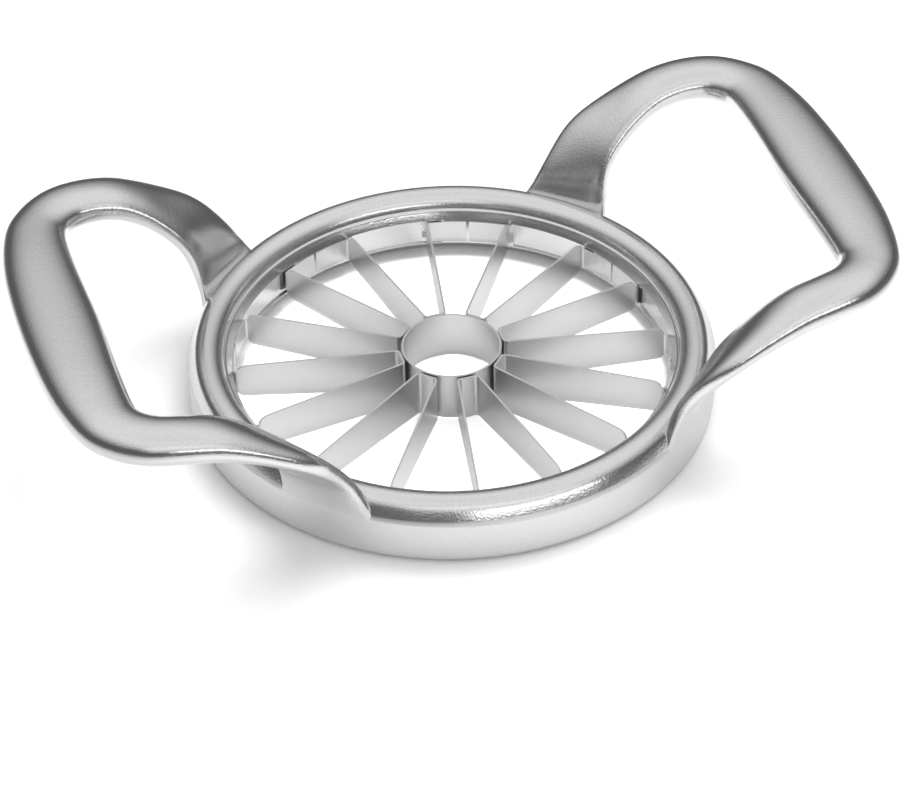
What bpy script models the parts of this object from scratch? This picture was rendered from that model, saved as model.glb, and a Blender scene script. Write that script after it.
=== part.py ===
# Apple slicer with a die-cast ring and two loop handles, sixteen thin blades and a corer tube.
# Metres, +Z up, origin on the axis of the ring in the plane that the foot rests on.
import math

import bmesh
import bpy
from mathutils import Matrix, Vector

# Clearance between separate pieces, and how far a cutter runs past what it cuts.
PIECE_GAP = 0.0003
CUT_OVERRUN = 0.002

# Ring: a plain skirt below, a round bead above, and a narrow ledge inside the bead.
# Outside, the skirt turns over a small lip into a slightly rounded flank that leans in to the bead.
# Inside, the bead runs down to the ledge in a fillet. The turns are degrees from level.
SKIRT_RADIUS = 0.0560
SKIRT_HEIGHT = 0.0096
RING_WALL = 0.0094
FOOT_ROUND = 0.0020
LIP_ROUND = 0.0016
FLANK_RADIUS = 0.0100
FLANK_FOOT_TURN = 15.0
FLANK_TOP_TURN = 33.0
BEAD_RADIUS = 0.00265
BEAD_INSET = 0.00355
BEAD_END_TURN = 160.0
LEDGE_FILLET = 0.0020
BEAD_LIFT_SHARE = 0.906
LEDGE_DROP = 0.0004
LEDGE_EDGE_ROUND = 0.0007
BORE_MOUTH_FLARE = 0.0010
BORE_MOUTH_DEPTH = 0.0013
BORE_FOOT_CHAMFER = 0.0032
RING_SEGMENTS = 96
BEAD_CENTRE_RADIUS = SKIRT_RADIUS - BEAD_INSET
BEAD_CENTRE_HEIGHT = SKIRT_HEIGHT + BEAD_LIFT_SHARE * BEAD_RADIUS
LEDGE_HEIGHT = BEAD_CENTRE_HEIGHT - LEDGE_DROP
BORE_RADIUS = SKIRT_RADIUS - RING_WALL
BORE_MOUTH_RADIUS = BORE_RADIUS + BORE_MOUTH_FLARE

# Handle loops: the centre line of one half, from its root in the ring wall to the middle of the grip.
ROOT_SINK = 0.0028
ROOT_HEIGHT = 0.0068
ROOT_ANGLE = 45.74
GRIP_REACH = 0.08245
STRUT_SPREAD = 0.0417
GRIP_LIFT = 0.0372
GRIP_HALF_WIDTH = 0.0082
GRIP_HALF_THICKNESS = 0.0050
HANDLE_STEPS = 3
SECTION_POINTS = 16
# Each row: reach and lift as shares of the way from the root to the grip, spread as a share of the
# straight line from the root to STRUT_SPREAD, half width and half thickness as shares of the grip's,
# then the plan heading and the tilt of the wide axis in degrees, the squareness of the section, and
# how much of the ring's own curve it takes.
HANDLE_STATION_SHARES = (
    (0.029, 0.985, 0.000, 1.15, 0.28, 46.0, 0.0, 2.8, 0.3),
    (0.035, 0.996, 0.072, 1.17, 0.34, 45.0, 0.0, 2.8, 0.3),
    (0.048, 0.992, 0.166, 1.11, 0.31, 43.0, -2.0, 2.8, 0.3),
    (0.066, 0.989, 0.265, 1.00, 0.32, 42.0, 0.0, 2.7, 0.3),
    (0.092, 0.994, 0.385, 0.89, 0.35, 42.0, 0.0, 2.6, 0.3),
    (0.141, 1.020, 0.525, 0.84, 0.43, 52.0, -5.0, 2.5, 0.3),
    (0.207, 1.047, 0.657, 0.87, 0.51, 64.0, -13.0, 2.3, 0.1),
    (0.307, 1.049, 0.777, 0.78, 0.56, 77.5, -12.0, 2.2, 0.0),
    (0.423, 1.045, 0.887, 0.72, 0.66, 85.0, -6.0, 2.2, 0.0),
    (0.543, 1.035, 0.965, 0.69, 0.74, 91.0, -1.0, 2.2, 0.0),
    (0.676, 1.013, 1.000, 0.68, 0.79, 98.5, 0.0, 2.2, 0.0),
    (0.805, 0.964, 1.007, 0.70, 0.83, 117.0, 0.0, 2.2, 0.0),
    (0.907, 0.863, 1.002, 0.74, 0.87, 141.0, 0.0, 2.2, 0.0),
    (0.964, 0.730, 0.998, 0.81, 0.93, 167.0, 0.0, 2.2, 0.0),
    (0.9945, 0.440, 0.999, 0.93, 0.99, 177.0, 0.0, 2.2, 0.0),
    (1.000, 0.000, 1.000, 1.00, 1.00, 180.0, 0.0, 2.2, 0.0),
)

# Corer tube: thin stainless tube, open at both ends, ground sharp inside at the bottom.
CORER_RADIUS = 0.01065
CORER_WALL = 0.00045
CORER_STAND = 0.0002
CORER_BOTTOM = 0.0003
CORER_EDGE = 0.0001
CORER_GRIND = 0.0012
CORER_SEGMENTS = 72

# Blade pairs: one strip makes a hub foot, two blades and two wall feet.
PAIR_COUNT = 8
STRIP_THICKNESS = 0.00045
STRIP_EDGE = 0.0001
STRIP_GRIND = 0.0010
STRIP_BEND = 0.0008
BLADE_SINK = 0.0009
BLADE_HUB_RISE = 0.0005
BLADE_BOTTOM_AT_HUB = 0.0004
BLADE_BOTTOM_AT_WALL = 0.0026
BLADE_CORNER = 0.0028
WALL_FOOT_DROP = 0.0015
WALL_FOOT_RISE = 0.0011

# Narrow relief slots in the bore, one beside the outer end of each blade.
RELIEF_WIDTH = 0.0009
RELIEF_DEPTH = 0.0016
RELIEF_TOP_INSET = 0.0004
RELIEF_BOTTOM_INSET = 0.0010

BLADE_TOP_AT_WALL = LEDGE_HEIGHT - BLADE_SINK
BLADE_TOP_AT_HUB = BLADE_TOP_AT_WALL + BLADE_HUB_RISE
CORER_TOP = BLADE_TOP_AT_HUB + CORER_STAND
WALL_FOOT_TOP = BLADE_TOP_AT_WALL - WALL_FOOT_DROP
WALL_FOOT_BOTTOM = BLADE_BOTTOM_AT_WALL + WALL_FOOT_RISE
RELIEF_TOP = WALL_FOOT_TOP - RELIEF_TOP_INSET
RELIEF_BOTTOM = WALL_FOOT_BOTTOM + RELIEF_BOTTOM_INSET
SECTOR = math.pi / PAIR_COUNT
HUB_STRIP_RADIUS = CORER_RADIUS + PIECE_GAP + STRIP_THICKNESS / 2
WALL_STRIP_RADIUS = BORE_RADIUS + STRIP_THICKNESS / 2 - PIECE_GAP
SEAT_RADIUS = WALL_STRIP_RADIUS + STRIP_THICKNESS / 2 + PIECE_GAP


def clear_scene():
    for item in list(bpy.data.objects):
        bpy.data.objects.remove(item, do_unlink=True)


def metal(name, colour, roughness):
    material = bpy.data.materials.new(name)
    material.use_nodes = True
    shader = material.node_tree.nodes["Principled BSDF"]
    shader.inputs["Base Color"].default_value = (*colour, 1.0)
    shader.inputs["Metallic"].default_value = 1.0
    shader.inputs["Roughness"].default_value = roughness
    return material


def add_object(name, mesh, material=None):
    item = bpy.data.objects.new(name, mesh)
    bpy.context.collection.objects.link(item)
    if material:
        mesh.materials.clear()
        mesh.materials.append(material)
    return item


def arc_points(centre_r, centre_z, radius, start, end, steps):
    """Points (r, z) along an arc, with its angles in degrees."""
    points = []
    for step in range(steps + 1):
        angle = math.radians(start + (end - start) * step / steps)
        points.append((centre_r + radius * math.cos(angle), centre_z + radius * math.sin(angle)))
    return points


def mesh_from_rings(name, rings, closed):
    """Skins rings of points with quads; an open run of rings gets flat caps."""
    bm = bmesh.new()
    loops = [[bm.verts.new(point) for point in ring] for ring in rings]
    pairs = list(zip(loops, loops[1:])) + ([(loops[-1], loops[0])] if closed else [])
    for first, second in pairs:
        for i in range(len(first)):
            j = (i + 1) % len(first)
            bm.faces.new((first[i], first[j], second[j], second[i]))
    if not closed:
        bm.faces.new(loops[0][::-1])
        bm.faces.new(loops[-1])
    bmesh.ops.recalc_face_normals(bm, faces=bm.faces)
    mesh = bpy.data.meshes.new(name)
    bm.to_mesh(mesh)
    bm.free()
    return mesh


def turned_mesh(name, profile, segments):
    """Turns a closed (r, z) outline once round the Z axis."""
    rings = []
    for step in range(segments):
        angle = 2 * math.pi * step / segments
        rings.append([(r * math.cos(angle), r * math.sin(angle), z) for r, z in profile])
    return mesh_from_rings(name, rings, closed=True)


def moved(point, distance, turn):
    angle = math.radians(turn)
    return point[0] + distance * math.cos(angle), point[1] + distance * math.sin(angle)


def ring_profile():
    bead = (BEAD_CENTRE_RADIUS, BEAD_CENTRE_HEIGHT)
    flank = moved(bead, BEAD_RADIUS - FLANK_RADIUS, FLANK_TOP_TURN)
    lip = moved(flank, FLANK_RADIUS - LIP_ROUND, FLANK_FOOT_TURN)
    fillet = moved(bead, BEAD_RADIUS + LEDGE_FILLET, BEAD_END_TURN)
    points = [(BORE_RADIUS + BORE_FOOT_CHAMFER, 0)]
    points += arc_points(SKIRT_RADIUS - FOOT_ROUND, FOOT_ROUND, FOOT_ROUND, -90, 0, 3)
    points += arc_points(*lip, LIP_ROUND, 0, FLANK_FOOT_TURN, 1)
    points += arc_points(*flank, FLANK_RADIUS, FLANK_FOOT_TURN, FLANK_TOP_TURN, 2)[1:]
    points += arc_points(*bead, BEAD_RADIUS, FLANK_TOP_TURN, BEAD_END_TURN, 8)[1:]
    points += arc_points(*fillet, LEDGE_FILLET, 180 + BEAD_END_TURN, 270, 3)[1:-1]
    points += arc_points(BORE_MOUTH_RADIUS + LEDGE_EDGE_ROUND, LEDGE_HEIGHT - LEDGE_EDGE_ROUND,
                         LEDGE_EDGE_ROUND, 90, 180, 2)
    points.append((BORE_RADIUS, LEDGE_HEIGHT - LEDGE_EDGE_ROUND - BORE_MOUTH_DEPTH))
    points.append((BORE_RADIUS, BORE_FOOT_CHAMFER))
    return points


def spline_rows(rows, steps):
    """Catmull-Rom rows between the given rows; the last row is a mirror plane."""
    mirror = list(rows[-2])
    mirror[1] = -mirror[1]
    mirror[5] = 360 - mirror[5]
    padded = [rows[0]] + list(rows) + [mirror]
    out = []
    for k in range(1, len(padded) - 2):
        a, b, c, d = padded[k - 1:k + 3]
        for step in range(steps):
            t = step / steps
            row = []
            for p, q, r, s in zip(a, b, c, d):
                bend = (2 * p - 5 * q + 4 * r - s) * t ** 2 + (3 * q - p - 3 * r + s) * t ** 3
                row.append((2 * q + (r - p) * t + bend) / 2)
            out.append(row)
    out.append(list(rows[-1]))
    return out


def power_share(share, squareness):
    return math.copysign(abs(share) ** (2 / squareness), share)


def handle_mesh(name):
    """Lofts one handle loop along +X, root to grip to root, mirrored about Y = 0."""
    half = spline_rows(HANDLE_STATION_SHARES, HANDLE_STEPS)
    root_radius, root_turn = SKIRT_RADIUS - ROOT_SINK, math.radians(ROOT_ANGLE)
    root_reach, root_spread = root_radius * math.cos(root_turn), root_radius * math.sin(root_turn)
    centres, frames = [], []
    for reach, spread, lift, width, thickness, heading, tilt, squareness, curl in half:
        centres.append(Vector((
            root_reach + reach * (GRIP_REACH - root_reach),
            -spread * (root_spread + reach * (STRUT_SPREAD - root_spread)),
            ROOT_HEIGHT + lift * (GRIP_LIFT - ROOT_HEIGHT),
        )))
        turn, lean = math.radians(heading), math.radians(tilt)
        wide = Vector((math.cos(turn) * math.cos(lean), math.sin(turn) * math.cos(lean), math.sin(lean)))
        frames.append((wide, width * GRIP_HALF_WIDTH, thickness * GRIP_HALF_THICKNESS, squareness, curl))
    rings = []
    for k, centre in enumerate(centres):
        before = centres[max(k - 1, 0)]
        last = k == len(centres) - 1
        after = Vector((before.x, -before.y, before.z)) if last else centres[k + 1]
        along = (after - before).normalized()
        wide, half_width, half_thickness, squareness, curl = frames[k]
        thin = wide.cross(along).normalized()
        ring = []
        for step in range(SECTION_POINTS):
            angle = 2 * math.pi * step / SECTION_POINTS
            across = half_width * power_share(math.cos(angle), squareness)
            rise = half_thickness * power_share(math.sin(angle), squareness)
            rise -= curl * across ** 2 / (2 * SKIRT_RADIUS)
            ring.append(centre + wide * across + thin * rise)
        rings.append(ring)
    far_half = [[Vector((p.x, -p.y, p.z)) for p in ring] for ring in reversed(rings[:-1])]
    return mesh_from_rings(name, rings + far_half, closed=False)


def seat_cutter_mesh(name):
    """Eight shallow seats in the bore, where the wall feet of the blade pairs lie."""
    bm = bmesh.new()
    reach = SECTOR / 2 + (STRIP_BEND + PIECE_GAP) / BORE_RADIUS
    inner, outer = BORE_RADIUS - CUT_OVERRUN, SEAT_RADIUS
    low, high = WALL_FOOT_BOTTOM - PIECE_GAP, WALL_FOOT_TOP + PIECE_GAP
    steps = 8
    for pair in range(PAIR_COUNT):
        middle = 2 * SECTOR * pair + SECTOR
        loops = []
        for step in range(steps + 1):
            angle = middle - reach + 2 * reach * step / steps
            corners = ((inner, low), (outer, low), (outer, high), (inner, high))
            loops.append([bm.verts.new((r * math.cos(angle), r * math.sin(angle), z)) for r, z in corners])
        for first, second in zip(loops, loops[1:]):
            for i in range(4):
                j = (i + 1) % 4
                bm.faces.new((first[i], first[j], second[j], second[i]))
        bm.faces.new(loops[0][::-1])
        bm.faces.new(loops[-1])
    bmesh.ops.recalc_face_normals(bm, faces=bm.faces)
    mesh = bpy.data.meshes.new(name)
    bm.to_mesh(mesh)
    bm.free()
    return mesh


def relief_cutter_mesh(name):
    """Sixteen upright slots beside the outer ends of the blades."""
    bm = bmesh.new()
    length = CUT_OVERRUN + RELIEF_DEPTH
    centre_r = BORE_RADIUS - CUT_OVERRUN + length / 2
    centre_z = (RELIEF_TOP + RELIEF_BOTTOM) / 2
    size = Matrix.Diagonal((length, RELIEF_WIDTH, RELIEF_TOP - RELIEF_BOTTOM, 1))
    aside = STRIP_THICKNESS / 2 + RELIEF_WIDTH / 2
    for pair in range(PAIR_COUNT):
        for side in (-1, 1):
            angle = 2 * SECTOR * pair + side * SECTOR / 2
            place = Matrix.Translation((centre_r, -side * aside, centre_z))
            bmesh.ops.create_cube(bm, size=1, matrix=Matrix.Rotation(angle, 4, "Z") @ place @ size)
    mesh = bpy.data.meshes.new(name)
    bm.to_mesh(mesh)
    bm.free()
    return mesh


def add_boolean(target, tool, operation):
    tool.hide_render = True
    tool.display_type = "WIRE"
    modifier = target.modifiers.new(tool.name, "BOOLEAN")
    modifier.object = tool
    modifier.operation = operation
    modifier.solver = "EXACT"


def make_frame_casting():
    cast = metal("satin_cast_metal", (0.60, 0.60, 0.61), 0.34)
    body = add_object("frame_casting", turned_mesh("frame_casting", ring_profile(), RING_SEGMENTS), cast)
    right = handle_mesh("handle_loop")
    left = right.copy()
    left.transform(Matrix.Rotation(math.pi, 4, "Z"))
    add_boolean(body, add_object("right_handle_loop", right), "UNION")
    add_boolean(body, add_object("left_handle_loop", left), "UNION")
    add_boolean(body, add_object("foot_seats", seat_cutter_mesh("foot_seats")), "DIFFERENCE")
    add_boolean(body, add_object("relief_slots", relief_cutter_mesh("relief_slots")), "DIFFERENCE")


def make_corer_tube():
    inner = CORER_RADIUS - CORER_WALL
    profile = [
        (CORER_RADIUS, CORER_TOP),
        (inner, CORER_TOP),
        (inner, CORER_BOTTOM + CORER_GRIND),
        (CORER_RADIUS - CORER_EDGE, CORER_BOTTOM),
        (CORER_RADIUS, CORER_BOTTOM),
    ]
    steel = metal("corer_steel", (0.70, 0.70, 0.70), 0.25)
    add_object("corer_tube", turned_mesh("corer_tube", profile, CORER_SEGMENTS), steel)


def strip_path():
    """Plan points of a strip with bottom and top heights: half of it, hub middle to wall end."""
    half = SECTOR / 2
    path = []
    hub_bend = (HUB_STRIP_RADIUS + STRIP_BEND, half)
    turn_back = STRIP_BEND / HUB_STRIP_RADIUS
    for step in range(4):
        angle = (half - turn_back) * step / 3
        path.append((HUB_STRIP_RADIUS, angle, BLADE_BOTTOM_AT_HUB, BLADE_TOP_AT_HUB))
    corner = 1 - math.sqrt(0.5)
    path.append((HUB_STRIP_RADIUS + corner * STRIP_BEND, half - corner * turn_back,
                 BLADE_BOTTOM_AT_HUB, BLADE_TOP_AT_HUB))
    path.append((*hub_bend, BLADE_BOTTOM_AT_HUB, BLADE_TOP_AT_HUB))
    rounding = 4
    drop = BLADE_TOP_AT_WALL - WALL_FOOT_TOP
    rise = WALL_FOOT_BOTTOM - BLADE_BOTTOM_AT_WALL
    start = WALL_STRIP_RADIUS - BLADE_CORNER
    end = WALL_STRIP_RADIUS - STRIP_BEND
    for step in range(rounding + 1):
        share = math.sin(math.pi / 2 * step / rounding)
        fall = 1 - math.sqrt(1 - share ** 2)
        path.append((start + (end - start) * share, half,
                     BLADE_BOTTOM_AT_WALL + rise * fall, BLADE_TOP_AT_WALL - drop * fall))
    turn_on = STRIP_BEND / WALL_STRIP_RADIUS
    path.append((WALL_STRIP_RADIUS - corner * STRIP_BEND, half + corner * turn_on,
                 WALL_FOOT_BOTTOM, WALL_FOOT_TOP))
    wall_end = SECTOR - PIECE_GAP / WALL_STRIP_RADIUS
    for step in range(4):
        angle = half + turn_on + (wall_end - half - turn_on) * step / 3
        path.append((WALL_STRIP_RADIUS, angle, WALL_FOOT_BOTTOM, WALL_FOOT_TOP))
    return path


def strip_mesh(name):
    """One blade pair about the +X axis, ground to an edge along its bottom."""
    half = strip_path()
    plan = [(Vector((r * math.cos(a), r * math.sin(a))), low, high) for r, a, low, high in half]
    mirrored = [(Vector((p.x, -p.y)), low, high) for p, low, high in reversed(plan[1:])]
    plan = mirrored + plan
    rings = []
    for k, (point, low, high) in enumerate(plan):
        before = plan[max(k - 1, 0)][0]
        after = plan[min(k + 1, len(plan) - 1)][0]
        into = (point - before).normalized() if k else (after - point).normalized()
        out = (after - point).normalized() if k < len(plan) - 1 else into
        along = (into + out).normalized()
        across = Vector((-along.y, along.x)) / max(along.dot(into), math.sqrt(0.5))
        body, edge = across * STRIP_THICKNESS / 2, across * STRIP_EDGE / 2
        section = ((body, high), (-body, high), (-body, low + STRIP_GRIND), (-edge, low),
                   (edge, low), (body, low + STRIP_GRIND))
        rings.append([(point.x + shift.x, point.y + shift.y, z) for shift, z in section])
    return mesh_from_rings(name, rings, closed=False)


def make_blade_pairs():
    steel = metal("blade_steel", (0.66, 0.66, 0.66), 0.28)
    master = strip_mesh("blade_pair")
    for number in range(PAIR_COUNT):
        pair = add_object(f"blade_pair_{number + 1}", master, steel)
        pair.rotation_euler.z = 2 * SECTOR * number


def shade_round_pieces():
    for item in bpy.data.objects:
        if item.type == "MESH" and not item.hide_render:
            item.data.shade_smooth()
            item.data.set_sharp_from_angle(angle=math.radians(35))


def main():
    clear_scene()
    make_frame_casting()
    make_corer_tube()
    make_blade_pairs()
    shade_round_pieces()


main()
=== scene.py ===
import math

import bmesh
import bpy
from mathutils import Matrix, Vector


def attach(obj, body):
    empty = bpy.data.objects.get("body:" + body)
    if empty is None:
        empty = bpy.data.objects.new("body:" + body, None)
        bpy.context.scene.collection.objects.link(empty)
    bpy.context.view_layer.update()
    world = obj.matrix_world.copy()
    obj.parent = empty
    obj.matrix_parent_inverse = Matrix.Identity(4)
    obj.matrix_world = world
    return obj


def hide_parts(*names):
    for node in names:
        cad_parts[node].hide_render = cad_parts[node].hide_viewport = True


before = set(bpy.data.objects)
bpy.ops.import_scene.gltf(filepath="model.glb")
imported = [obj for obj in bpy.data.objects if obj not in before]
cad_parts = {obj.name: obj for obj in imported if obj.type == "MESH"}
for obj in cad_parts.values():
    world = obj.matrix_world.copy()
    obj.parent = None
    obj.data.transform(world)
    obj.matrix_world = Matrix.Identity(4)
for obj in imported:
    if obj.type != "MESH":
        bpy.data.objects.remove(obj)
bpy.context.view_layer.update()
body = "root"
print("frame loaded:", len(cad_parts), "nodes")


def deselectAll():
    if bpy.context.object and bpy.context.object.mode == "EDIT":
        bpy.ops.object.mode_set(mode="OBJECT")
    bpy.ops.object.select_all(action="DESELECT")


def pick(piece):  # the one selected and active object
    deselectAll()
    piece.select_set(True)
    bpy.context.view_layer.objects.active = piece


def nameIt(name):
    piece = bpy.context.object
    piece.name = name
    piece.data.name = name
    return piece


def applyModifier(piece, kind, **settings):
    pick(piece)
    bpy.ops.object.modifier_add(type=kind)
    modifier = piece.modifiers[-1]
    for key, value in settings.items():
        setattr(modifier, key, value)
    bpy.ops.object.modifier_apply(modifier=modifier.name)


def useTool(piece, tool, operation):  # boolean with a tool that is then thrown away
    applyModifier(piece, "BOOLEAN", object=tool, operation=operation, solver="EXACT")
    bpy.data.objects.remove(tool, do_unlink=True)


def arcPoints(centreR, centreZ, radius, start, end, steps):
    points = []
    for step in range(steps + 1):
        angle = math.radians(start + (end - start) * step / steps)
        points.append((centreR + radius * math.cos(angle), centreZ + radius * math.sin(angle)))
    return points


def spinOutline(name, outline, turns, sweep=360.0, startAngle=0.0):
    turn = math.radians(startAngle)
    points = [Vector((r * math.cos(turn), r * math.sin(turn), z)) for r, z in outline]
    deselectAll()
    bpy.ops.mesh.primitive_plane_add(size=0.001)
    piece = nameIt(name)
    bpy.ops.object.mode_set(mode="EDIT")
    bpy.ops.mesh.select_all(action="SELECT")
    bpy.ops.mesh.merge(type="CENTER")
    bpy.ops.transform.translate(value=points[0])
    for start, end in zip(points, points[1:]):
        bpy.ops.mesh.extrude_region_move(TRANSFORM_OT_translate={"value": end - start})
    bm = bmesh.from_edit_mesh(piece.data)
    ends = [v for v in bm.verts if len(v.link_edges) == 1]
    bpy.ops.mesh.select_all(action="DESELECT")
    for v in ends:
        v.select = True
    bpy.ops.mesh.edge_face_add()
    bpy.ops.mesh.select_all(action="SELECT")
    whole = sweep >= 360
    if not whole:
        bpy.ops.mesh.edge_face_add()
        bpy.ops.mesh.select_all(action="SELECT")
    bpy.ops.mesh.spin(steps=turns, angle=math.radians(sweep), center=(0, 0, 0), axis=(0, 0, 1))
    bpy.ops.mesh.select_all(action="SELECT")
    bpy.ops.mesh.remove_doubles(threshold=0.000001)
    bpy.ops.mesh.normals_make_consistent(inside=False)
    bpy.ops.object.mode_set(mode="OBJECT")
    return piece


# The ring, turned from its outline

ring = {
    "skirtRadius": 0.0560, "skirtHeight": 0.0096, "footRound": 0.0020, "wall": 0.0094,
    "lipRound": 0.0010, "flankRadius": 0.0300, "flankFootTurn": 22.0, "flankTopTurn": 28.0,
    "beadRadius": 0.0034, "beadInset": 0.0044, "beadLift": 0.0016, "beadEndTurn": 165.0,
    "ledgeHeight": 0.0116, "ledgeRound": 0.0007, "mouthFlare": 0.0010,
    "mouthDepth": 0.0013, "footChamfer": 0.0032, "turns": 240,
}


def moved(point, distance, turn):
    angle = math.radians(turn)
    return point[0] + distance * math.cos(angle), point[1] + distance * math.sin(angle)


def ringOutline():
    bore = ring["skirtRadius"] - ring["wall"]
    bead = (ring["skirtRadius"] - ring["beadInset"], ring["skirtHeight"] + ring["beadLift"])
    flank = moved(bead, ring["beadRadius"] - ring["flankRadius"], ring["flankTopTurn"])
    lip = moved(flank, ring["flankRadius"] - ring["lipRound"], ring["flankFootTurn"])
    foot = (ring["skirtRadius"] - ring["footRound"], ring["footRound"])
    mouth = (bore + ring["mouthFlare"] + ring["ledgeRound"], ring["ledgeHeight"] - ring["ledgeRound"])
    points = [(bore + ring["footChamfer"], 0)]
    points += arcPoints(*foot, ring["footRound"], -90, 0, 8)
    points += arcPoints(*lip, ring["lipRound"], 0, ring["flankFootTurn"], 3)
    points += arcPoints(*flank, ring["flankRadius"], ring["flankFootTurn"], ring["flankTopTurn"], 6)[1:]
    points += arcPoints(*bead, ring["beadRadius"], ring["flankTopTurn"], ring["beadEndTurn"], 24)[1:]
    points += arcPoints(*mouth, ring["ledgeRound"], 100, 180, 5)
    points += [(bore, mouth[1] - ring["mouthDepth"]), (bore, ring["footChamfer"])]
    return points


casting = spinOutline("frameCasting", ringOutline(), ring["turns"])
print("ring turned")

# The two handle loops, each one section extruded from station to station

handle = {
    "rootSink": 0.0028, "rootHeight": 0.0068, "rootAngle": 45.74,
    "reach": 0.08245, "strutSpread": 0.0417, "lift": 0.0372,
    "halfWidth": 0.0082, "halfThickness": 0.0050, "steps": 6, "sectionPoints": 48,
    "fairRows": 8, "fairRounds": 14, "fairShare": 0.5,
    "flushGap": 0.00002, "flushHeight": 0.0095, "flushBend": 30.0, "flushTop": 0.0180,
}
# reach, spread, lift, half width, half thickness as shares, heading, tilt, squareness, curl
stationShares = (
    (0.023, 0.993, 0.000, 1.25, 0.28, 46.0, 0.0, 3.8, 0.3),
    (0.029, 1.004, 0.072, 1.27, 0.34, 45.0, 0.0, 3.8, 0.3),
    (0.043, 0.999, 0.166, 1.20, 0.33, 43.0, -2.0, 3.8, 0.3),
    (0.062, 0.995, 0.265, 1.09, 0.34, 42.0, 0.0, 3.8, 0.3),
    (0.089, 0.999, 0.385, 0.97, 0.37, 43.0, -2.0, 3.8, 0.3),
    (0.139, 1.024, 0.525, 0.88, 0.43, 52.0, -6.0, 3.4, 0.2),
    (0.207, 1.047, 0.657, 0.87, 0.51, 64.0, -11.0, 2.7, 0.1),
    (0.307, 1.049, 0.777, 0.78, 0.56, 77.5, -12.0, 2.4, 0.0),
    (0.423, 1.045, 0.887, 0.72, 0.66, 85.0, -6.0, 2.2, 0.0),
    (0.543, 1.035, 0.965, 0.69, 0.74, 91.0, -1.0, 2.2, 0.0),
    (0.676, 1.013, 1.000, 0.68, 0.79, 98.5, 0.0, 2.2, 0.0),
    (0.805, 0.964, 1.007, 0.70, 0.83, 117.0, 0.0, 2.2, 0.0),
    (0.907, 0.863, 1.002, 0.74, 0.87, 141.0, 0.0, 2.2, 0.0),
    (0.964, 0.730, 0.998, 0.81, 0.93, 167.0, 0.0, 2.2, 0.0),
    (0.9945, 0.440, 0.999, 0.93, 0.99, 177.0, 0.0, 2.2, 0.0),
    (1.000, 0.000, 1.000, 1.00, 1.00, 180.0, 0.0, 2.2, 0.0),
)


def smoothRows(rows, steps):  # rows between the given ones on a smooth curve
    mirror = list(rows[-2])
    mirror[1], mirror[5] = -mirror[1], 360 - mirror[5]
    padded = [rows[0]] + list(rows) + [mirror]
    out = []
    for k in range(1, len(padded) - 2):
        a, b, c, d = padded[k - 1:k + 3]
        for step in range(steps):
            t = step / steps
            out.append([(2 * q + (r - p) * t + (2 * p - 5 * q + 4 * r - s) * t ** 2
                         + (3 * q - p - 3 * r + s) * t ** 3) / 2 for p, q, r, s in zip(a, b, c, d)])
    return out + [list(rows[-1])]


def handleSections():
    turn = math.radians(handle["rootAngle"])
    rootRadius = ring["skirtRadius"] - handle["rootSink"]
    rootReach, rootSpread = rootRadius * math.cos(turn), rootRadius * math.sin(turn)
    rows = smoothRows(stationShares, handle["steps"])
    centres = []
    for row in rows:
        spread = rootSpread + row[0] * (handle["strutSpread"] - rootSpread)
        centres.append(Vector((rootReach + row[0] * (handle["reach"] - rootReach), -row[1] * spread,
                               handle["rootHeight"] + row[2] * (handle["lift"] - handle["rootHeight"]))))
    sections = []
    for k, centre in enumerate(centres):
        before = centres[max(k - 1, 0)]
        after = centres[k + 1] if k + 1 < len(centres) else Vector((before.x, -before.y, before.z))
        along = (after - before).normalized()
        heading, tilt = math.radians(rows[k][5]), math.radians(rows[k][6])
        wide = Vector((math.cos(heading) * math.cos(tilt), math.sin(heading) * math.cos(tilt), math.sin(tilt)))
        thin = wide.cross(along).normalized()
        power = 2 / rows[k][7]
        section = []
        for point in range(handle["sectionPoints"]):
            angle = 2 * math.pi * point / handle["sectionPoints"]
            c, s = math.cos(angle), math.sin(angle)
            across = rows[k][3] * handle["halfWidth"] * math.copysign(abs(c) ** power, c)
            rise = rows[k][4] * handle["halfThickness"] * math.copysign(abs(s) ** power, s)
            rise -= rows[k][8] * across ** 2 / (2 * ring["skirtRadius"])
            section.append(centre + wide * across + thin * rise)
        sections.append(section)
    sections = flushFace(fairRoot(sections))
    farHalf = [[Vector((p.x, -p.y, p.z)) for p in section] for section in reversed(sections[:-1])]
    return sections + farHalf


def fairRoot(sections):  # evens out the turn between the root and the strut
    reach = handle["fairRows"] * handle["steps"]
    for _ in range(handle["fairRounds"]):
        evened = list(sections)
        for k in range(1, reach):
            share = handle["fairShare"] * min(1, (reach - k) / handle["steps"])
            evened[k] = [point.lerp((before + after) / 2, share) for before, point, after in
                         zip(sections[k - 1], sections[k], sections[k + 1])]
        sections = evened
    return sections


def flushFace(sections):  # keeps the root's outer face in line with the skirt
    skirt = ring["skirtRadius"] - handle["flushGap"]
    for section in sections:
        for point in section:
            above = max(0, point.z - handle["flushHeight"])
            limit = skirt + handle["flushBend"] * above ** 2
            out = math.hypot(point.x, point.y)
            if out > limit and point.z < handle["flushTop"]:
                point.x, point.y = point.x * limit / out, point.y * limit / out
    return sections


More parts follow.
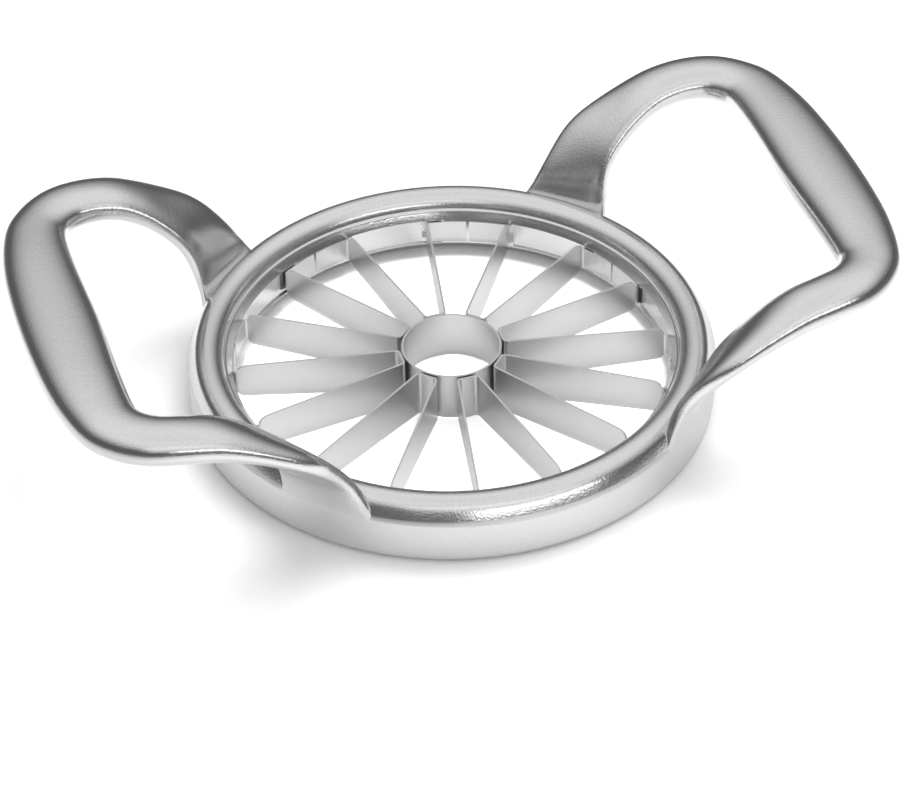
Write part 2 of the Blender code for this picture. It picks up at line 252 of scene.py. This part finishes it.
def makeHandleLoop(name):
    sections = handleSections()
    deselectAll()
    bpy.ops.mesh.primitive_circle_add(vertices=handle["sectionPoints"], radius=handle["halfWidth"],
                                      fill_type="NGON")
    piece = nameIt(name)
    bpy.ops.object.mode_set(mode="EDIT")
    bm = bmesh.from_edit_mesh(piece.data)
    place = bm.verts.layers.int.new("place")
    bm.verts.ensure_lookup_table()
    for number, v in enumerate(bm.verts):
        v[place] = number
        v.co = sections[0][number]
    bmesh.update_edit_mesh(piece.data)
    bpy.ops.mesh.select_all(action="SELECT")
    for section in sections[1:]:
        bpy.ops.mesh.extrude_region_move()
        bm = bmesh.from_edit_mesh(piece.data)
        place = bm.verts.layers.int["place"]
        for v in bm.verts:
            if v.select:
                v.co = section[v[place]]
        bmesh.update_edit_mesh(piece.data)
    bm = bmesh.from_edit_mesh(piece.data)
    bm.verts.layers.int.remove(bm.verts.layers.int["place"])
    bpy.ops.mesh.select_all(action="SELECT")
    bpy.ops.mesh.normals_make_consistent(inside=False)
    bpy.ops.object.mode_set(mode="OBJECT")
    return piece


rightLoop = makeHandleLoop("rightLoop")
leftLoop = rightLoop.copy()
leftLoop.data = rightLoop.data.copy()
bpy.context.collection.objects.link(leftLoop)
leftLoop.data.transform(Matrix.Rotation(math.pi, 4, "Z"))
useTool(casting, rightLoop, "UNION")
useTool(casting, leftLoop, "UNION")
print("handle loops joined:", len(casting.data.polygons), "faces")

# Seats and relief slots in the bore

blades = {
    "pairs": 8, "thickness": 0.00045, "gap": 0.0003, "bend": 0.0008, "footTop": 0.0092, "footBottom": 0.0037,
    "reliefWidth": 0.0009, "reliefDepth": 0.0016, "reliefTop": 0.0088, "reliefBottom": 0.0047, "overrun": 0.002,
}
boreRadius = ring["skirtRadius"] - ring["wall"]
sector = math.pi / blades["pairs"]


def cutSeats():
    reach = sector / 2 + (blades["bend"] + blades["gap"]) / boreRadius
    inner, outer = boreRadius - blades["overrun"], boreRadius + blades["thickness"]
    low, high = blades["footBottom"] - blades["gap"], blades["footTop"] + blades["gap"]
    outline = [(inner, low), (outer, low), (outer, high), (inner, high)]
    for pair in range(blades["pairs"]):
        middle = math.degrees(2 * sector * pair + sector)
        tool = spinOutline("seat", outline, 8, 2 * math.degrees(reach), middle - math.degrees(reach))
        useTool(casting, tool, "DIFFERENCE")


def cutReliefs():
    length = blades["overrun"] + blades["reliefDepth"]
    height = blades["reliefTop"] - blades["reliefBottom"]
    middle = Vector((boreRadius - blades["overrun"] + length / 2, 0,
                     (blades["reliefTop"] + blades["reliefBottom"]) / 2))
    aside = (blades["thickness"] + blades["reliefWidth"]) / 2
    for pair in range(blades["pairs"]):
        for side in (-1, 1):
            turn = Matrix.Rotation(2 * sector * pair + side * sector / 2, 3, "Z")
            deselectAll()
            bpy.ops.mesh.primitive_cube_add(
                size=1, location=turn @ (middle + Vector((0, -side * aside, 0))), rotation=turn.to_euler(),
                scale=(length, blades["reliefWidth"], height))
            useTool(casting, nameIt("relief"), "DIFFERENCE")


cutSeats()
cutReliefs()
print("seats and slots cut:", len(casting.data.polygons), "faces")


# Finishes

def newMaterial(name):
    material = bpy.data.materials.new(name)
    material.use_nodes = True
    nodes = material.node_tree.nodes
    return material, nodes, material.node_tree.links, nodes["Principled BSDF"]


def noiseNode(nodes, links, vector, scale, detail=2.0, rough=0.5):
    noise = nodes.new("ShaderNodeTexNoise")
    noise.inputs["Scale"].default_value = scale
    noise.inputs["Detail"].default_value = detail
    noise.inputs["Roughness"].default_value = rough
    links.new(vector, noise.inputs["Vector"])
    return noise.outputs["Fac"]


def rangeNode(nodes, links, value, low, high, start=0.3, end=0.7):
    remap = nodes.new("ShaderNodeMapRange")
    links.new(value, remap.inputs["Value"])
    remap.inputs["From Min"].default_value = start
    remap.inputs["From Max"].default_value = end
    remap.inputs["To Min"].default_value = low
    remap.inputs["To Max"].default_value = high
    return remap.outputs["Result"]


def greyNode(nodes, links, value, low, high):
    ramp = nodes.new("ShaderNodeValToRGB")
    links.new(value, ramp.inputs["Fac"])
    ramp.color_ramp.elements[0].position = 0.3
    ramp.color_ramp.elements[1].position = 0.7
    ramp.color_ramp.elements[0].color = (*low, 1)
    ramp.color_ramp.elements[1].color = (*high, 1)
    return ramp.outputs["Color"]


def bumpNode(nodes, links, height, depth):
    bump = nodes.new("ShaderNodeBump")
    bump.inputs["Strength"].default_value = 1.0
    bump.inputs["Distance"].default_value = depth
    links.new(height, bump.inputs["Height"])
    return bump.outputs["Normal"]


castFinish = {
    "tone": 0.71, "toneSpread": 0.02, "gloss": 0.20, "skirtGloss": 0.46, "skirtReach": (0.0555, 0.0558),
    "skirtHeight": (0.012, 0.020), "grain": 2300, "grainDepth": 0.00003, "smoothAngle": 40,
}


def makeCastMetal():
    material, nodes, links, shader = newMaterial("satinCastMetal")
    place = nodes.new("ShaderNodeTexCoord").outputs["Object"]
    shader.inputs["Metallic"].default_value = 1.0
    grain = noiseNode(nodes, links, place, castFinish["grain"], 1.0)
    dark, light = (castFinish["tone"] + side * castFinish["toneSpread"] for side in (-1, 1))
    links.new(greyNode(nodes, links, grain, (dark,) * 3, (light,) * 3), shader.inputs["Base Color"])
    split = nodes.new("ShaderNodeSeparateXYZ")
    links.new(place, split.inputs[0])
    flat = nodes.new("ShaderNodeVectorMath")
    flat.operation = "MULTIPLY"
    flat.inputs[1].default_value = (1, 1, 0)
    links.new(place, flat.inputs[0])
    radius = nodes.new("ShaderNodeVectorMath")
    radius.operation = "LENGTH"
    links.new(flat.outputs[0], radius.inputs[0])
    outside = rangeNode(nodes, links, radius.outputs["Value"], 0, 1, *castFinish["skirtReach"])
    low = rangeNode(nodes, links, split.outputs["Z"], 1, 0, *castFinish["skirtHeight"])
    matt = nodes.new("ShaderNodeMath")
    matt.operation = "MULTIPLY"
    links.new(outside, matt.inputs[0])
    links.new(low, matt.inputs[1])
    links.new(rangeNode(nodes, links, matt.outputs[0], castFinish["gloss"], castFinish["skirtGloss"], 0, 1),
              shader.inputs["Roughness"])
    links.new(bumpNode(nodes, links, grain, castFinish["grainDepth"]), shader.inputs["Normal"])
    return material


bladeFinish = {
    "dark": (0.64, 0.64, 0.64), "light": (0.67, 0.67, 0.67), "smooth": 0.28, "rough": 0.34,
    "lines": 3500, "lineDepth": 0.0000015,
}


def makeBladeSteel():
    material, nodes, links, shader = newMaterial("brushedBladeSteel")
    place = nodes.new("ShaderNodeTexCoord").outputs["Object"]
    stretch = nodes.new("ShaderNodeMapping")
    stretch.inputs["Scale"].default_value = (0.3, 0.3, 1.0)
    links.new(place, stretch.inputs["Vector"])
    shader.inputs["Metallic"].default_value = 1.0
    lines = noiseNode(nodes, links, stretch.outputs["Vector"], bladeFinish["lines"], 3.0, 0.6)
    links.new(greyNode(nodes, links, lines, bladeFinish["dark"], bladeFinish["light"]), shader.inputs["Base Color"])
    links.new(rangeNode(nodes, links, lines, bladeFinish["smooth"], bladeFinish["rough"]), shader.inputs["Roughness"])
    links.new(bumpNode(nodes, links, lines, bladeFinish["lineDepth"]), shader.inputs["Normal"])
    return material


castMetal = makeCastMetal()
bladeSteel = makeBladeSteel()
casting.data.materials.clear()
casting.data.materials.append(castMetal)
pick(casting)
bpy.ops.object.shade_smooth_by_angle(angle=math.radians(castFinish["smoothAngle"]))
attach(casting, body)
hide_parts("frame_casting")
for name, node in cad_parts.items():
    if name != "frame_casting":
        for holder in node.material_slots:
            holder.material = bladeSteel
print("finishes assigned")

# Floor, light and camera

studio = {
    "floorSize": 6.0, "floorDrop": 0.00002, "floorTone": 0.97, "mirroredTone": 0.90, "farTone": 0.10,
    # boreGlow and mirroredGlow are painted light: the floor inside the bore glows
    "nearReach": 0.11, "farReach": 0.20, "boreGlow": 0.6, "mirroredGlow": 0.18, "boreReach": 0.0455,
    "bandPower": 0.65, "bandSize": (0.75, 0.11), "bandPlace": (0.19, -0.76, 0.18),
    "frontPower": 1.3, "frontSize": (1.6, 0.6), "frontPlace": (0.0, -1.0, 0.58),
    "topPower": 16.5, "topSize": (1.2, 1.2), "topPlace": (0.50, 0.42, 1.02),
}


def makeFloor():
    deselectAll()
    bpy.ops.mesh.primitive_plane_add(size=studio["floorSize"], location=(0, 0, -studio["floorDrop"]))
    floor = nameIt("floor")
    material, nodes, links, shader = newMaterial("paleFloor")
    nodes.remove(shader)
    diffuse = nodes.new("ShaderNodeBsdfDiffuse")
    glow = nodes.new("ShaderNodeEmission")
    path = nodes.new("ShaderNodeLightPath")
    distance = nodes.new("ShaderNodeVectorMath")
    distance.operation = "LENGTH"
    links.new(nodes.new("ShaderNodeTexCoord").outputs["Object"], distance.inputs[0])
    mirrored = rangeNode(nodes, links, distance.outputs["Value"], studio["mirroredTone"], studio["farTone"],
                         studio["nearReach"], studio["farReach"])
    blend = nodes.new("ShaderNodeMix")
    links.new(path.outputs["Is Glossy Ray"], blend.inputs["Factor"])
    blend.inputs["A"].default_value = studio["floorTone"]
    links.new(mirrored, blend.inputs["B"])
    links.new(blend.outputs["Result"], diffuse.inputs["Color"])
    # painted light: inside the bore the floor glows for the camera, which lifts the blades' shadows there, and more
    # weakly for reflections, so the blades mirror a brighter floor
    inBore = rangeNode(nodes, links, distance.outputs["Value"], 1, 0,
                       studio["boreReach"], studio["boreReach"] + 0.001)
    seen = nodes.new("ShaderNodeMath")
    seen.operation = "MULTIPLY"
    seen.inputs[1].default_value = studio["boreGlow"]
    links.new(path.outputs["Is Camera Ray"], seen.inputs[0])
    level = nodes.new("ShaderNodeMath")
    level.operation = "MULTIPLY_ADD"
    level.inputs[1].default_value = studio["mirroredGlow"]
    links.new(path.outputs["Is Glossy Ray"], level.inputs[0])
    links.new(seen.outputs[0], level.inputs[2])
    amount = nodes.new("ShaderNodeMath")
    amount.operation = "MULTIPLY"
    links.new(inBore, amount.inputs[0])
    links.new(level.outputs[0], amount.inputs[1])
    links.new(amount.outputs[0], glow.inputs["Strength"])
    add = nodes.new("ShaderNodeAddShader")
    links.new(diffuse.outputs[0], add.inputs[0])
    links.new(glow.outputs[0], add.inputs[1])
    links.new(add.outputs[0], nodes["Material Output"].inputs["Surface"])
    floor.data.materials.append(material)


# height and tone of the studio's walls, from under the floor to overhead
worldSteps = (
    (0.0, 0.12), (0.6, 0.12), (0.71, 0.40), (0.79, 0.68), (0.88, 0.92), (0.95, 0.96), (1.0, 0.90),
)


def makeWorld():
    world = bpy.data.worlds.new("studio")
    bpy.context.scene.world = world
    world.use_nodes = True
    nodes, links = world.node_tree.nodes, world.node_tree.links
    split = nodes.new("ShaderNodeSeparateXYZ")
    links.new(nodes.new("ShaderNodeTexCoord").outputs["Generated"], split.inputs[0])
    half = nodes.new("ShaderNodeMath")
    half.operation = "MULTIPLY_ADD"
    half.inputs[1].default_value = half.inputs[2].default_value = 0.5
    links.new(split.outputs["Z"], half.inputs[0])
    ramp = nodes.new("ShaderNodeValToRGB")
    links.new(half.outputs[0], ramp.inputs["Fac"])
    steps = ramp.color_ramp.elements
    for _ in range(len(worldSteps) - 2):
        steps.new(0.5)
    for step, (position, tone) in zip(steps, worldSteps):
        step.position = position
        step.color = (tone, tone, tone, 1)
    path = nodes.new("ShaderNodeLightPath")
    mix = nodes.new("ShaderNodeMix")
    mix.data_type = "RGBA"
    links.new(path.outputs["Is Camera Ray"], mix.inputs["Factor"])
    links.new(ramp.outputs["Color"], mix.inputs["A"])
    mix.inputs["B"].default_value = (1, 1, 1, 1)
    links.new(mix.outputs["Result"], nodes["Background"].inputs["Color"])


def addLamp(name, place, power, size, mirrored=True):
    lamp = bpy.data.lights.new(name, "AREA")
    lamp.shape = "RECTANGLE"
    lamp.energy, lamp.size, lamp.size_y = power, *size
    item = bpy.data.objects.new(name, lamp)
    bpy.context.scene.collection.objects.link(item)
    item.location = place
    item.rotation_mode = "QUATERNION"
    item.rotation_quaternion = (-Vector(place)).to_track_quat("-Z", "Y")
    item.visible_glossy = mirrored


camera = {
    "azimuth": -17.349, "elevation": 39.637, "roll": -1.201, "distance": 0.7349, "lens": 137.37,
    "sensor": 36, "shiftX": -0.00239, "shiftY": -0.02293, "aimHeight": 0.0014, "farLimit": 20,
}


def makeCamera():
    turn, rise, roll = (math.radians(camera[key]) for key in ("azimuth", "elevation", "roll"))
    back = Vector((math.sin(turn) * math.cos(rise), -math.cos(turn) * math.cos(rise), math.sin(rise)))
    right = Vector((math.cos(turn), math.sin(turn), 0))
    up = back.cross(right)
    side = right * math.cos(roll) + up * math.sin(roll)
    top = up * math.cos(roll) - right * math.sin(roll)
    item = bpy.data.objects.new("camera", bpy.data.cameras.new("camera"))
    bpy.context.scene.collection.objects.link(item)
    placed = Matrix((side, top, back)).transposed().to_4x4()
    placed.translation = back * camera["distance"] + Vector((0, 0, camera["aimHeight"]))
    item.matrix_world = placed
    item.data.sensor_width = camera["sensor"]
    item.data.lens = camera["lens"]
    item.data.shift_x, item.data.shift_y = camera["shiftX"], camera["shiftY"]
    item.data.clip_end = camera["farLimit"]
    bpy.context.scene.camera = item


makeFloor()
makeWorld()
addLamp("bandLamp", studio["bandPlace"], studio["bandPower"], studio["bandSize"])
addLamp("frontLamp", studio["frontPlace"], studio["frontPower"], studio["frontSize"])
addLamp("topLamp", studio["topPlace"], studio["topPower"], studio["topSize"], mirrored=False)
makeCamera()
bpy.context.scene.view_settings.view_transform = "Standard"
print("floor, light and camera ready")
